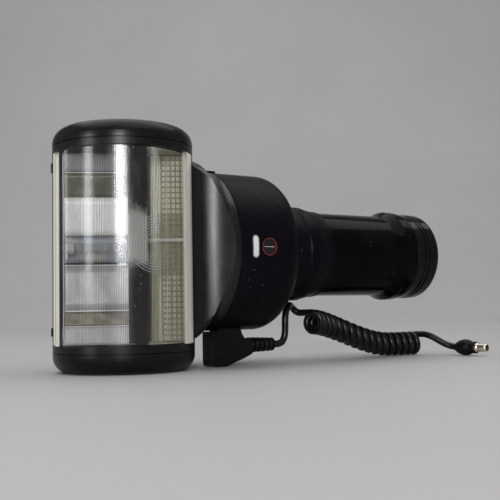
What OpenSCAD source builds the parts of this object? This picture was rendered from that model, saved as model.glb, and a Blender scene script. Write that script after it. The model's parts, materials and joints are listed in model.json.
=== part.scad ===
// Studio strobe: a round lamp head in a saddle, a barrel, a battery grip and a curly sync cord.
// Z is the axis of the head, X runs along the grip, and the head's lower cap stands on Z = 0.

/* [Head] */
// Outside radius of the head
head_r = 31; // [30:0.5:33]
// Distance between the two cap seams
head_len = 89.6; // [88:0.2:94]
// Height of each cap beyond its seam
cap_h = 8.7; // [8:0.1:9.4]
// Rounding of the edge of each cap
cap_round = 7; // [5:0.1:7.5]
// Wall of the head shell
shell_wall = 2.2; // [1.8:0.1:2.6]
// Width of the black rim above and below the lens
rim_w = 3; // [2.6:0.1:5]
// Angle of the head that the lens covers
lens_angle = 150; // [136:1:154]
// Direction that the lens faces at rest, counted from the grip
lens_dir = -114; // [-118:1:-110]
// Thickness of the lens at its edges
lens_t = 2; // [1.6:0.1:2.1]
// Pitch of the vertical lens ribs, in degrees
rib_pitch = 2.5; // [2:0.5:5]
// Depth of the vertical lens ribs
rib_depth = 0.4; // [0.2:0.1:0.6]

/* [Head joint] */
// Turn of the head forwards from rest
tilt_forward = 24; // [20:1:26]
// Turn of the head backwards from rest
tilt_back = 66; // [60:1:70]
// Radius of the spindle that carries the head
spindle_r = 3; // [2.6:0.1:3.4]
// Free space between the head and the saddle
pocket_gap = 0.3; // [0.3:0.05:0.5]

/* [Saddle and barrel] */
// Outside radius of the barrel
barrel_r = 37; // [36:0.5:39]
// Wall of the barrel
barrel_wall = 2.5; // [2:0.1:3]
// Place of the seam between saddle and barrel
seam_x = 38.8; // [38.4:0.1:40]
// Width of the seam
seam_gap = 0.4; // [0.3:0.1:0.6]
// Length of the barrel behind the seam
barrel_len = 35.2; // [34:0.2:40]
// Rounding of the rear edge of the barrel
barrel_round = 9; // [6:0.5:11]
// Height of the flare where the saddle meets the head
flare_h = 4.8; // [4:0.1:8]
// Radius of the flare
flare_r = 12; // [10:0.5:14]
// Radius of the side panels of the saddle
panel_r = 40; // [36:1:46]

/* [Controls] */
// Distance of the lamp window behind the seam
window_dx = 7.5; // [6.5:0.1:7.8]
// Width of the lamp window
window_w = 3.5; // [2.5:0.1:4]
// Length of the lamp window
window_l = 10.2; // [8:0.2:12]
// Distance of the test button behind the seam
button_dx = 14.6; // [14.4:0.1:16]
// Outside radius of the ring round the button
ring_r = 4.2; // [4:0.1:4.4]
// Width of the ring round the button
ring_w = 0.7; // [0.5:0.1:0.9]
// Travel of the test button
button_travel = 1.2; // [0.8:0.1:1.4]
// Travel of the power switch
switch_travel = 4; // [3:0.5:5]

/* [Grip] */
// Outside radius of the grip tube
grip_r = 21; // [20.6:0.1:21.6]
// Wall of the grip tube
grip_wall = 2; // [1.9:0.1:2.2]
// Length of the grip tube behind the barrel
grip_len = 81; // [80:0.5:90]
// Length of the collar
collar_len = 28; // [24:0.5:32]
// Radius of the collar ridge
ridge_r = 23.3; // [23:0.1:24]
// Radius of the flange at the end of the grip tube
flange_r = 23.4; // [23:0.1:24.5]
// Outside radius of the end cap
end_r = 22.6; // [22.2:0.1:23]
// Length of the end cap
end_len = 15.4; // [14:0.2:18]
// Turn of the end cap from locked to free
bayonet_turn = 45; // [30:1:60]

/* [Battery] */
// Radius of a cell
cell_r = 7.1; // [6.9:0.05:7.15]
// Length of a cell
cell_len = 50; // [49:0.1:50.5]

/* [Sync plug and cord] */
// Length of the plug body along the barrel
plug_len = 17.2; // [17:0.2:24]
// Width of the plug body
plug_w = 9.5; // [9:0.5:12]
// Diameter of the cord
cord_d = 3.4; // [3.1:0.1:3.5]
// Radius of the middle of the curls
curl_r = 4.7; // [4.4:0.1:4.8]
// Distance from curl to curl
curl_pitch = 4.5; // [4.4:0.05:4.6]
// Number of curls
curls = 17; // [12:1:17]
// Height at which the lead holds the first curl above the table
coil_lift = 13; // [8:0.5:13]
// Length of the strain relief on the plug
relief_l = 13.5; // [13:0.5:13.5]

/* [Fits] */
// Running clearance of a shaft or plunger in its bore, on the radius
run_gap = 0.06; // [0.03:0.01:0.1]
// Clearance of a piece in its seat
seat_gap = 0.1; // [0.05:0.01:0.15]

/* [Hidden] */
$fn = 96;
eps = 0.01;

// Head
head_h = head_len + 2 * cap_h;
axis_z = head_h / 2;
shell_in = head_r - shell_wall;
lens_in = head_r - lens_t;
lens_low = cap_h + rim_w;
lens_high = head_h - lens_low;
lens_start = lens_dir - lens_angle / 2;
head_turn = lens_dir + 90;
cap_wall = 2.2;
cap_seam = 0.3;
boss_r = spindle_r + 3;
boss_h = 8;
neck_r = spindle_r;
slot_half = neck_r + 0.4;
neck_angle = asin(slot_half / shell_in) + 1;
slot_from = -neck_angle - tilt_forward;
slot_to = neck_angle + tilt_back;

// Saddle and barrel
pocket_r = head_r + pocket_gap;
web_x = pocket_r + 3;
spigot_r = barrel_r - barrel_wall - seat_gap;
spigot_l = 4;
nose_dx = 23;
nose_x = seam_x + nose_dx;
side_reach = 9.85;
nose_y = barrel_r + side_reach - panel_r;
flare_end = seam_x - 0.3;
flare_run = sqrt(flare_r * flare_r - (flare_r - flare_h) * (flare_r - flare_h));
barrel_x = seam_x + seam_gap;
rear_x = seam_x + barrel_len;

// Controls
window_x = seam_x + window_dx;
button_x = seam_x + button_dx;
button_r = ring_r - ring_w - run_gap;
board_y = -16;
board_t = 1.6;
board_x0 = seam_x + spigot_l + 1;
board_x1 = rear_x - barrel_round - 1;
board_half = sqrt(pow(barrel_r - barrel_wall, 2) - pow(board_y - board_t / 2, 2)) - 0.3;
tact_h = 3.5;
contact_h = 6;
can_r = 11.5;
can_l = 19;
can_z = board_half - can_r - 1.5;
core_l = 16;
core_h = 15;
core_t = 4;
coil_t = 9;
core_z = board_half - core_h + 10.3;
tact_y = board_y - board_t / 2 - tact_h;
switch_dx = 14;
switch_x = seam_x + switch_dx;
switch_stem = 3;
slot_gap = 0.3;

// Grip, collar and end cap
tube_in = grip_r - grip_wall;
tube_x0 = rear_x - 3;
mouth_x = rear_x + grip_len;
collar_x1 = rear_x + collar_len;
ridge_x0 = rear_x + 12.5;
ridge_x1 = rear_x + 18;
flange_x0 = mouth_x - 6.5;
flange_x1 = mouth_x - 1;
mouth_gap = 0.6;
seal_t = 0.4;
cap_x0 = mouth_x + mouth_gap;
cap_x1 = cap_x0 + end_len;
end_spigot_r = tube_in - run_gap;
end_spigot_l = 5.5;
lug_w = 3;
lug_x = mouth_x - 4.6;
lug_t = 1.8;
lug_r = tube_in + 0.6;

// Battery
plate_t = 1.5;
carrier_x1 = cap_x0 - end_spigot_l - 1.2;
cells_x1 = carrier_x1 - plate_t - 0.4;
cells_x0 = cells_x1 - cell_len;
carrier_x0 = cells_x0 - plate_t - 0.4;
cell_off = cell_r + 0.3;

// Sync plug: it stands on the table under the barrel and is pressed up into its socket
plug_y = -4;
plug_x0 = seam_x + 0.2;
plug_x1 = plug_x0 + plug_len;
plug_top = axis_z - barrel_r - 1.9;
relief_z = 9.3;
nose_l = 5.6;
relief_r = 3.6;
heel_l = 8;
relief_x1 = plug_x1 + nose_l + relief_l;
shoulder_l = plug_len - 0.8;
shoulder_z = axis_z - barrel_r - 0.4;
socket_l = 12.4;
socket_w = 8.4;
socket_x = seam_x + spigot_l + 0.3 + socket_l / 2;
socket_z = axis_z - sqrt(pow(barrel_r, 2) - pow(abs(plug_y) + socket_w / 2, 2)) + 0.4;
socket_h = 9;
pin_r = 1;
pin_gap = 7;

// Cord: routes of the plain stretches, chosen by hand, and the axis of the curls
curl_z = curl_r + cord_d / 2;
top_z = curl_z + curl_r;
bend_r = 50;
bend_a = 30;
lift_l = 58;
coil_x = 124;
coil_y = 2;
bend_l = bend_r * bend_a * PI / 180;
coil_l = curls * curl_pitch;
coil_x1 = coil_x + coil_l - bend_l;
start_dir = [sin(bend_a), -cos(bend_a), 0];
coil_start = [coil_x - bend_r * sin(bend_a), coil_y - bend_r + bend_r * cos(bend_a), top_z + coil_lift];
lead_end = coil_start - cord_d * start_dir;
lead_points = [
    [relief_x1, plug_y, relief_z], [relief_x1 + cord_d, plug_y, relief_z], [81.2, -4, 10.2],
    [82.7, -4, 12.6], [83.2, -4, 16], [83.3, -4, 20], [84, -3.6, 24], [86.2, -2, 26.9],
    [89.4, 0.6, 27.9], [92.4, 2.6, 26.6], [94.3, 2.6, 24.9], lead_end - cord_d * start_dir, lead_end
];
tail_points = [
    [coil_x1, coil_y - cord_d, top_z], [coil_x1, coil_y - 2 * cord_d, top_z],
    [coil_x1 + 0.6, -8, 10.4], [coil_x1 + 2, -10.9, 8.9], [coil_x1 + 3.9, -13.4, 7],
    [coil_x1 + 5.8, -15.9, 5.4], [coil_x1 + 6.9, -18.7, 4.6], [coil_x1 + 7.1, -21.6, 4.3]
];
pc_end = tail_points[len(tail_points) - 1];
pc_from = tail_points[len(tail_points) - 2];
pc_turn = atan2(pc_end[1] - pc_from[1], pc_end[0] - pc_from[0]);
pc_r = 4.2;
pc_len = 13;

// The curls: the axis bends and comes down to the table, and then runs along X
function lift_at(s) = s < lift_l ? coil_lift * (1 + cos(180 * s / lift_l)) / 2 : 0;
function axis_at(s) = let (z = curl_z + lift_at(s)) s < bend_l
    ? let (a = bend_a * (1 - s / bend_l))
      [coil_x - bend_r * sin(a), coil_y - bend_r + bend_r * cos(a), z, a]
    : [coil_x + s - bend_l, coil_y, z, 0];
function curl_point(t) = let (c = axis_at(t * curl_pitch), w = 90 + 360 * t)
    [c[0] - curl_r * cos(w) * sin(c[3]), c[1] + curl_r * cos(w) * cos(c[3]), c[2] + curl_r * sin(w)];
curl_rings = 8;
coil_path = concat(
    [lead_end],
    [for (i = [0:curls * curl_rings]) curl_point(i / curl_rings)],
    [curl_point(curls) + [0, -cord_d, 0]]
);

// A tube swept along points: rings of n sides at each point, square to the path
function unit(v) = v / norm(v);
function direction(p, i) = i == 0 ? unit(p[1] - p[0])
    : i == len(p) - 1 ? unit(p[i] - p[i - 1])
    : unit(unit(p[i + 1] - p[i]) + unit(p[i] - p[i - 1]));
function carry(frame, d) = unit(frame - (frame * d) * d);
function frames(p, up, i = 0, out = []) = i == len(p) ? out
    : let (f = carry(i == 0 ? up : out[i - 1], direction(p, i))) frames(p, up, i + 1, concat(out, [f]));
module swept_tube(p, r, n, up) {
    f = frames(p, up);
    rings = [for (i = [0:len(p) - 1]) let (g = cross(direction(p, i), f[i]))
        for (k = [0:n - 1]) p[i] + r * cos(360 * k / n) * f[i] + r * sin(360 * k / n) * g];
    last = (len(p) - 1) * n;
    sides = [for (i = [0:len(p) - 2], k = [0:n - 1], h = [0, 1])
        let (a = i * n + k, b = i * n + (k + 1) % n)
        h == 0 ? [a, b + n, b] : [a, a + n, b + n]];
    ends = concat([for (k = [1:n - 2]) [0, k, k + 1]], [for (k = [1:n - 2]) [last, last + k + 1, last + k]]);
    polyhedron(rings, concat(sides, ends));
}

// The least gap between curls, measured on the path
function gap_to(i, j) = norm(coil_path[i] - coil_path[j]) - cord_d;
curl_gap = min([for (i = [1:len(coil_path) - 2], j = [i + 5:1:min(i + 14, len(coil_path) - 2)]) gap_to(i, j)]);
echo(least_gap_between_curls = curl_gap);

// Places a shape turned about Z so that its axis runs along the barrel
module along_x(x = 0) {
    translate([x, 0, axis_z]) rotate([0, 90, 0]) children();
}

// A body of revolution about the barrel axis from points of radius and X
module turned(points) {
    along_x() rotate_extrude() polygon(points);
}

// A profile of points in Y and Z, drawn out along X
module along_width(x0, x1) {
    translate([x0, 0, 0]) rotate([90, 0, 90]) linear_extrude(height = x1 - x0) children();
}

function arc(cx, cy, r, a0, a1, n = 10) = [for (i = [0:n]) let (a = a0 + (a1 - a0) * i / n) [cx + r * cos(a), cy + r * sin(a)]];

// Housing pieces

module saddle_form() {
    intersection() {
        turned(concat(
            [[0, 10], [barrel_r + flare_h, 10], [barrel_r + flare_h, flare_end - flare_run]],
            [for (i = [1:12]) let (x = flare_run * (1 - i / 12))
                [barrel_r + flare_r - sqrt(flare_r * flare_r - x * x), flare_end - x]],
            [[barrel_r, seam_x], [0, seam_x]]
        ));
        translate([0, 0, cap_h]) linear_extrude(height = head_len) union() {
            for (s = [-1, 1]) translate([nose_x, s * nose_y]) circle(r = panel_r, $fn = 180);
        }
    }
    along_x(seam_x - 1) cylinder(r = spigot_r, h = spigot_l + 1);
}

module saddle() {
    color("#1b1b20") difference() {
        saddle_form();
        translate([0, 0, -1]) cylinder(r = pocket_r, h = head_h + 2, $fn = 180);
        along_x(web_x) cylinder(r = spigot_r - 2.5, h = seam_x + spigot_l);
        along_x(0) cylinder(r = neck_r + seat_gap, h = seam_x);
    }
}

module rear_barrel() {
    color("#1c1c22") difference() {
        turned(concat(
            [[barrel_r - barrel_wall, barrel_x], [barrel_r - 0.3, barrel_x], [barrel_r, barrel_x + 0.3]],
            arc(barrel_r - barrel_round, rear_x - barrel_round, barrel_round, 0, 90),
            [[grip_r + seat_gap, rear_x], [grip_r + seat_gap, rear_x - barrel_wall]],
            arc(barrel_r - barrel_round, rear_x - barrel_round, barrel_round - barrel_wall, 90, 0)
        ));
        window_cut(seat_gap);
        translate([button_x, 0, axis_z]) rotate([90, 0, 0]) cylinder(r = ring_r + seat_gap, h = barrel_r + 1);
        translate([switch_x - switch_stem / 2 - slot_gap, barrel_r - barrel_wall - 2, axis_z - switch_stem / 2 - slot_gap])
            cube([switch_travel + switch_stem + 2 * slot_gap, barrel_wall + 4, switch_stem + 2 * slot_gap]);
        translate([socket_x - socket_l / 2 - seat_gap, plug_y - socket_w / 2 - seat_gap, 0])
            cube([socket_l + 2 * seat_gap, socket_w + 2 * seat_gap, axis_z - 20]);
        translate([window_x - 5, -3.6, axis_z + barrel_r - 0.6]) cube([4.2, 4.2, 4]);
    }
}

module window_cut(gap) {
    translate([window_x, 0, axis_z]) rotate([90, 0, 0]) linear_extrude(height = barrel_r + 1) union() {
        square([window_w + 2 * gap, window_l - window_w], center = true);
        for (s = [-1, 1]) translate([0, s * (window_l - window_w) / 2]) circle(r = window_w / 2 + gap);
    }
}

module lamp_window() {
    color("#f4f4f0") intersection() {
        window_cut(0);
        turned([[barrel_r - barrel_wall, window_x - 4], [barrel_r + 0.1, window_x - 4],
            [barrel_r + 0.1, window_x + 4], [barrel_r - barrel_wall, window_x + 4]]);
    }
}

module button_bezel() {
    color("#b3343c") translate([button_x, 0, axis_z]) rotate([90, 0, 0]) difference() {
        translate([0, 0, barrel_r - barrel_wall]) cylinder(r = ring_r, h = barrel_wall + 0.1);
        cylinder(r = ring_r - ring_w, h = barrel_r + 2);
    }
}

module test_button() {
    color("#17171a") translate([button_x, 0, axis_z]) rotate([90, 0, 0]) difference() {
        union() {
            translate([0, 0, barrel_r - barrel_wall - 1]) cylinder(r = button_r, h = barrel_wall + 0.9);
            translate([0, 0, -tact_y + button_travel + 0.1])
                cylinder(r = 1.6, h = barrel_r - barrel_wall + tact_y - button_travel - 0.9);
        }
        translate([-button_r, -0.2, barrel_r - 0.35]) cube([2 * button_r, 0.4, 1]);
    }
}

module top_pad() {
    color("#1a1a1e") translate([window_x - 4.9, -3.5, axis_z + barrel_r - 0.6 + eps]) {
        cube([4, 4, 1.6]);
        translate([0.6, 2, 1.6]) cylinder(r = 0.5, h = 0.3, $fn = 24);
    }
}

module collar() {
    tail_r = grip_r + 0.6;
    color("#202026") turned([
        [grip_r + seat_gap, rear_x + 0.1], [grip_r + 1.5, rear_x + 0.1], [grip_r + 1.5, ridge_x0 - 1],
        [ridge_r - 0.4, ridge_x0], [ridge_r, ridge_x0 + 0.6], [ridge_r, ridge_x1 - 0.6],
        [ridge_r - 0.4, ridge_x1], [grip_r + 1.3, ridge_x1 + 3.5], [tail_r, collar_x1 - 3],
        [tail_r, collar_x1 - 0.4], [tail_r - 0.4, collar_x1], [grip_r + seat_gap, collar_x1]
    ]);
}

module grip_tube() {
    color("#141418") difference() {
        turned([
            [tube_in, tube_x0], [grip_r, tube_x0], [grip_r, flange_x0 - 5.5], [grip_r + 0.6, flange_x0 - 3.5],
            [flange_r - 0.5, flange_x0 - 0.6], [flange_r, flange_x0 + 0.4], [flange_r, flange_x1 - 0.6],
            [flange_r - 0.5, flange_x1], [flange_r - 0.9, flange_x1 + 0.2], [flange_r - 0.9, mouth_x],
            [tube_in, mouth_x]
        ]);
        turned([[tube_in - 1, lug_x - 0.3], [lug_r + 0.3, lug_x - 0.3],
            [lug_r + 0.3, lug_x + lug_t + 0.3], [tube_in - 1, lug_x + lug_t + 0.3]]);
        for (a = [0, 180]) along_x(lug_x) rotate([0, 0, a + bayonet_turn])
            translate([0, -lug_w / 2 - 0.4, 0]) cube([lug_r + 0.3, lug_w + 0.8, 10]);
    }
}

module end_cap() {
    color("#15151a") {
        turned(concat(
            [[0, cap_x0 + 12], [end_spigot_r - 2, cap_x0 + 12], [end_spigot_r - 2, cap_x0 - end_spigot_l],
             [end_spigot_r, cap_x0 - end_spigot_l], [end_spigot_r, cap_x0], [end_r - 0.5, cap_x0],
             [end_r, cap_x0 + 0.5]],
            [for (g = [4.4, 6.9], p = [[0, 0], [-0.6, 0.4], [-0.6, 1.2], [0, 1.6]]) [end_r + p[0], cap_x0 + g + p[1]]],
            arc(end_r - 3, cap_x1 - 3, 3, 0, 90),
            [[0, cap_x1]]
        ));
        for (a = [0, 180]) along_x(lug_x) rotate([0, 0, a])
            translate([end_spigot_r - 1, -lug_w / 2, 0]) cube([lug_r - end_spigot_r + 1, lug_w, lug_t]);
        along_x(cap_x0 - end_spigot_l + 0.6) cylinder(r = 6, h = 12 + end_spigot_l);
    }
}

module cap_seal() {
    color("#101010") along_x(mouth_x + (mouth_gap - seal_t) / 2) difference() {
        cylinder(r = grip_r - 0.1, h = seal_t);
        translate([0, 0, -1]) cylinder(r = end_spigot_r + 0.1, h = 3);
    }
}

module contact_spring() {
    color("#c9b27a") along_x(carrier_x1 + 0.1) difference() {
        cylinder(r1 = 3.4, r2 = 5, h = cap_x0 - end_spigot_l + 0.6 - carrier_x1 - 0.1);
        translate([0, 0, -1]) cylinder(r = 1.5, h = 5);
    }
}

// Pieces inside the housing

module sync_socket() {
    color("#28282c") difference() {
        translate([socket_x - socket_l / 2, plug_y - socket_w / 2, socket_z]) cube([socket_l, socket_w, socket_h]);
        for (s = [-1, 1]) translate([socket_x + s * pin_gap / 2, plug_y, socket_z - 1])
            cylinder(r = pin_r + run_gap, h = 7, $fn = 32);
    }
}

module circuit_board() {
    color("#2f6b3f") difference() {
        translate([board_x0, board_y - board_t / 2, axis_z - board_half])
            cube([board_x1 - board_x0, board_t, 2 * board_half]);
        for (s = [-1, 1]) translate([board_x0 + 4, 0, axis_z + s * (board_half - 6)]) rotate([90, 0, 0])
            cylinder(r = 1.4, h = 40, $fn = 32);
    }
}

module board_switches() {
    color("#2c2c30") {
        translate([button_x - 3, tact_y, axis_z - 3]) cube([6, tact_h, 6]);
        translate([switch_x - 4, board_y + board_t / 2, axis_z - 3.5]) cube([switch_travel + 10, contact_h, 7]);
    }
}

module capacitor() {
    color("#3a4a6a") translate([board_x0 + 1, board_y + board_t / 2 + can_r + seat_gap, axis_z + can_z]) rotate([0, 90, 0])
        cylinder(r = can_r, h = can_l);
}

module transformer() {
    color("#c98f3a") translate([board_x0 + 2, board_y + board_t / 2, axis_z - core_z]) {
        cube([core_l, core_t, core_h]);
        translate([2, core_t, 2]) cube([core_l - 4, coil_t, core_h - 4]);
    }
}

module ready_lamp() {
    color("#e9a070") translate([window_x, 0, axis_z]) {
        translate([0, board_y - board_t / 2, -1]) rotate([90, 0, 0]) cylinder(r = 0.5, h = barrel_r - barrel_wall + board_y - board_t - 2, $fn = 24);
        translate([0, -barrel_r + barrel_wall + 2.4, -4]) cylinder(r = 1.6, h = 8, $fn = 48);
    }
}

module battery_carrier() {
    color("#d9d9d2") {
        for (x = [carrier_x0, carrier_x1 - plate_t]) along_x(x) difference() {
            cylinder(r = tube_in - 0.3, h = plate_t);
            for (a = [0:90:270]) rotate([0, 0, a]) translate([tube_in - 2, 0, -1]) cylinder(r = 1.2, h = 4, $fn = 32);
        }
        along_x(carrier_x0 + plate_t - eps) cylinder(r = 2.6, h = carrier_x1 - carrier_x0 - 2 * plate_t + 2 * eps);
    }
}

module battery_cells() {
    color("#8f9aa3") for (y = [-1, 1], z = [-1, 1]) translate([cells_x0, y * cell_off, axis_z + z * cell_off])
        rotate([0, 90, 0]) {
            cylinder(r = cell_r, h = cell_len - 1.2);
            cylinder(r = 2.7, h = cell_len);
        }
}

module contact_plates() {
    color("#c8b27a") for (x = [carrier_x0 + plate_t, cells_x1], z = [-1, 1])
        translate([x, -cell_off - 4, axis_z + z * cell_off - 4]) cube([0.4, 2 * cell_off + 8, 8]);
}

module head_spindle() {
    color("#9a9a9e") difference() {
        union() {
            translate([0, 0, cap_wall + 1]) cylinder(r = spindle_r, h = head_h - 2 * cap_wall - 2);
            along_x(0) cylinder(r = neck_r, h = web_x + 1);
            along_x(web_x + eps) cylinder(r = 8, h = 2);
        }
        along_x(2) cylinder(r = 1.4, h = web_x + 5);
    }
}

// The head

module cap_form() {
    top = cap_h + rim_w;
    rotate_extrude() polygon(concat(
        [[0, 0]],
        arc(head_r - cap_round, cap_round, cap_round, -90, 0),
        [[head_r, cap_h - cap_seam], [shell_in - seat_gap, cap_h - cap_seam], [shell_in - seat_gap, top - 0.2],
         [shell_in - 2, top - 0.2], [shell_in - 2, cap_wall], [boss_r, cap_wall], [boss_r, cap_h + boss_h],
         [spindle_r + run_gap, cap_h + boss_h], [spindle_r + run_gap, cap_wall + 0.4], [0, cap_wall + 0.4]]
    ));
}

module cap_bottom() {
    color("#1b1b20") cap_form();
}

module cap_top() {
    color("#1b1b20") translate([0, 0, head_h]) mirror([0, 0, 1]) cap_form();
}

module head_shell() {
    color("#18181c") difference() {
        translate([0, 0, cap_h]) cylinder(r = head_r, h = head_len, $fn = 180);
        cylinder(r = shell_in, h = head_h, $fn = 180);
        translate([0, 0, lens_low]) rotate([0, 0, lens_start]) rotate_extrude(angle = lens_angle, $fn = 180)
            translate([shell_in - 3, 0]) square([shell_wall + 6, lens_high - lens_low]);
        translate([0, 0, axis_z - slot_half]) rotate([0, 0, slot_from]) rotate_extrude(angle = slot_to - slot_from, $fn = 180)
            translate([shell_in - 3, 0]) square([shell_wall + 6, 2 * slot_half]);
    }
}

module lens() {
    edge = 360 * seat_gap / (2 * PI * head_r);
    a0 = lens_start + edge;
    a1 = lens_start + lens_angle - edge;
    ribs = floor((a1 - a0) / rib_pitch);
    step = (a1 - a0) / ribs;
    color("#dfe6e8") translate([0, 0, lens_low + seat_gap])
        linear_extrude(height = lens_high - lens_low - 2 * seat_gap) polygon(concat(
            [for (i = [0:ribs]) let (a = a0 + step * i) [head_r * cos(a), head_r * sin(a)]],
            [for (i = [2 * ribs:-1:0]) let (a = a0 + step * i / 2, r = lens_in + (i % 2 == 0 ? rib_depth : 0))
                [r * cos(a), r * sin(a)]]
        ));
}

// Steps of the reflector: distance in front of the spindle and height from the middle
lens_half = (lens_high - lens_low) / 2;
mirror_back = spindle_r + 2;
mirror_flat = 6;
mirror_steps = [
    [mirror_back, 0], [mirror_back, mirror_flat], [mirror_back + 1.4, mirror_flat + 0.6],
    [lens_in - 14, lens_half - 19.1], [lens_in - 9, lens_half - 10.3], [lens_in - 5.5, lens_half - 4.8]
];
mirror_t = 0.8;
mirror_w0 = 7 - head_r;
mirror_w1 = 5;
tube_y = -10;
tube_r = 2.4;
holder_l = 3.5;

module mirror_side(grow) {
    polygon(concat(
        [for (p = mirror_steps) [-p[0] + grow, axis_z + p[1] + grow]],
        [for (i = [len(mirror_steps) - 1:-1:0]) [-mirror_steps[i][0] + grow, axis_z - mirror_steps[i][1] - grow]]
    ));
}

module reflector() {
    color("#e4e6e8") rotate([0, 0, head_turn]) difference() {
        intersection() {
            union() {
                along_width(mirror_w0, mirror_w1) difference() {
                    mirror_side(mirror_t);
                    mirror_side(0);
                }
                for (w = [mirror_w0, mirror_w1 - mirror_t]) along_width(w, w + mirror_t) polygon(concat(
                    [for (p = mirror_steps) [-p[0] + mirror_t, axis_z + p[1] + mirror_t]],
                    [for (s = [1, -1]) [-head_r, axis_z + s * (lens_half - 4.8 + mirror_t)]],
                    [for (i = [len(mirror_steps) - 1:-1:0]) [-mirror_steps[i][0] + mirror_t, axis_z - mirror_steps[i][1] - mirror_t]]
                ));
            }
            cylinder(r = lens_in - 0.4, h = head_h, $fn = 180);
        }
        translate([mirror_w0 - 1, tube_y, axis_z]) rotate([0, 90, 0])
            cylinder(r = tube_r + 0.3 + seat_gap, h = mirror_w1 - mirror_w0 + 2);
    }
}

divider_w = 3.6;
panel_y = -9;
panel_t = 1;

module side_panel() {
    w0 = mirror_w1 + divider_w + 2 * seat_gap;
    color("#d8cfae") rotate([0, 0, head_turn]) intersection() {
        translate([w0, panel_y, lens_low + 1]) cube([head_r, panel_t, lens_high - lens_low - 2]);
        cylinder(r = shell_in - seat_gap, h = head_h, $fn = 180);
    }
}

module divider() {
    color("#151517") rotate([0, 0, head_turn]) intersection() {
        translate([mirror_w1 + seat_gap, -head_r, lens_low + 1])
            cube([divider_w, head_r + panel_y + panel_t, lens_high - lens_low - 2]);
        cylinder(r = lens_in - 0.4, h = head_h, $fn = 180);
    }
}

module flash_tube() {
    color("#f2f4f6") rotate([0, 0, head_turn]) translate([mirror_w0 + holder_l - 0.5, tube_y, axis_z]) rotate([0, 90, 0])
        cylinder(r = tube_r, h = mirror_w1 - mirror_w0 - 2 * holder_l + 0.5);
}

module tube_ends() {
    color("#b9b9bd") rotate([0, 0, head_turn]) for (w = [mirror_w0 - 0.5, mirror_w1 - holder_l])
        translate([w, tube_y, axis_z]) rotate([0, 90, 0]) cylinder(r = tube_r + 0.3, h = holder_l);
}

module shell_clips() {
    color("#2a2a2e") for (z = [lens_low + 6, lens_high - 6]) rotate([0, 0, lens_start - 8])
        translate([head_r - eps, -2.5, z - 1.8]) cube([0.6, 5, 3.6]);
}

module power_switch() {
    stem_y = board_y + board_t / 2 + contact_h + slot_gap;
    color("#1d1d21") translate([switch_x, 0, axis_z]) {
        translate([-switch_stem / 2, stem_y, -switch_stem / 2])
            cube([switch_stem, barrel_r + 0.5 - stem_y, switch_stem]);
        difference() {
            translate([-3.5, barrel_r + 0.3, -4]) cube([7, 1.5, 8]);
            for (x = [-2:1.3:2]) translate([x - 0.3, barrel_r + 1.3, -5]) cube([0.6, 1, 10]);
        }
    }
}

// The sync plug and its cord

module plug_body() {
    color("#19191d") difference() {
        union() {
            intersection() {
                translate([0, plug_y + plug_w / 2, 0]) rotate([90, 0, 0]) linear_extrude(height = plug_w) polygon([
                    [plug_x0, 2.4], [plug_x0 + 0.7, 0.7], [plug_x0 + 2.4, 0], [plug_x0 + heel_l, 0],
                    [plug_x1 + nose_l, relief_z - relief_r - 0.4], [plug_x1 + nose_l, relief_z + relief_r - 0.2],
                    [plug_x1 + 0.5, relief_z + relief_r - 0.1], [plug_x1, plug_top - 0.4],
                    [plug_x1 - 0.4, plug_top], [plug_x0 + 0.4, plug_top], [plug_x0, plug_top - 0.4]
                ]);
                linear_extrude(height = plug_top + 1) polygon([
                    [plug_x0, plug_y - plug_w / 2 + 1.2], [plug_x0 + 1.2, plug_y - plug_w / 2],
                    [plug_x1 + 1, plug_y - plug_w / 2], [plug_x1 + nose_l, plug_y - relief_r - 0.2],
                    [plug_x1 + nose_l, plug_y + relief_r + 0.2], [plug_x1 + 1, plug_y + plug_w / 2],
                    [plug_x0 + 1.2, plug_y + plug_w / 2], [plug_x0, plug_y + plug_w / 2 - 1.2]
                ]);
            }
            translate([plug_x0 + 0.4, plug_y - socket_w / 2, plug_top - 1])
                cube([shoulder_l, socket_w, shoulder_z - plug_top + 1]);
            translate([socket_x - socket_l / 2 + seat_gap, plug_y - socket_w / 2 + seat_gap, plug_top - 1])
                cube([socket_l - 2 * seat_gap, socket_w - 2 * seat_gap, socket_z - plug_top + 1]);
        }
        for (s = [-1, 1]) translate([socket_x + s * pin_gap / 2, plug_y, plug_top - 2])
            cylinder(r = pin_r, h = 20, $fn = 32);
    }
}

module plug_pins() {
    color("#c9c9c4") for (s = [-1, 1]) translate([socket_x + s * pin_gap / 2, plug_y, plug_top - 2])
        cylinder(r = pin_r, h = socket_z - plug_top + 2 + 5.5, $fn = 32);
}

module strain_relief() {
    x0 = plug_x1 + nose_l;
    color("#19191d") translate([x0, plug_y, relief_z]) rotate([0, 90, 0]) rotate_extrude($fn = 48) polygon(concat(
        [[0, 0], [relief_r, 0]],
        [for (i = [0:4], p = [[0, 0.4], [-0.8, 0.45], [-0.8, 0.8], [0, 0.85]])
            [relief_r - 0.1 * i + p[0], relief_l / 5 * (i + p[1])]],
        [[relief_r - 0.5, relief_l], [0, relief_l]]
    ));
}

module cord_lead() {
    color("#141416") swept_tube(lead_points, cord_d / 2, 8, [0, 1, 0]);
}

module cord_coil() {
    color("#141416") swept_tube(coil_path, cord_d / 2, 6, [0, 0, 1]);
}

module cord_tail() {
    color("#141416") swept_tube(tail_points, cord_d / 2, 8, [0, 0, 1]);
}

module at_pc(d) {
    translate([pc_end[0] + d * cos(pc_turn), pc_end[1] + d * sin(pc_turn), pc_end[2]])
        rotate([0, 0, pc_turn]) rotate([0, 90, 0]) children();
}

module pc_grip() {
    color("#17171a") at_pc(0) rotate_extrude($fn = 64) polygon(concat(
        [[0, 0], [2.3, 0], [2.6, 1]],
        [for (i = [0:8]) let (t = i / 8) [2.6 + (pc_r - 2.6) * sin(180 * t * 0.62 + 20), 1.5 + 7 * t]],
        [[3.1, 10], [3, pc_len], [0, pc_len]]
    ));
}

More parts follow.
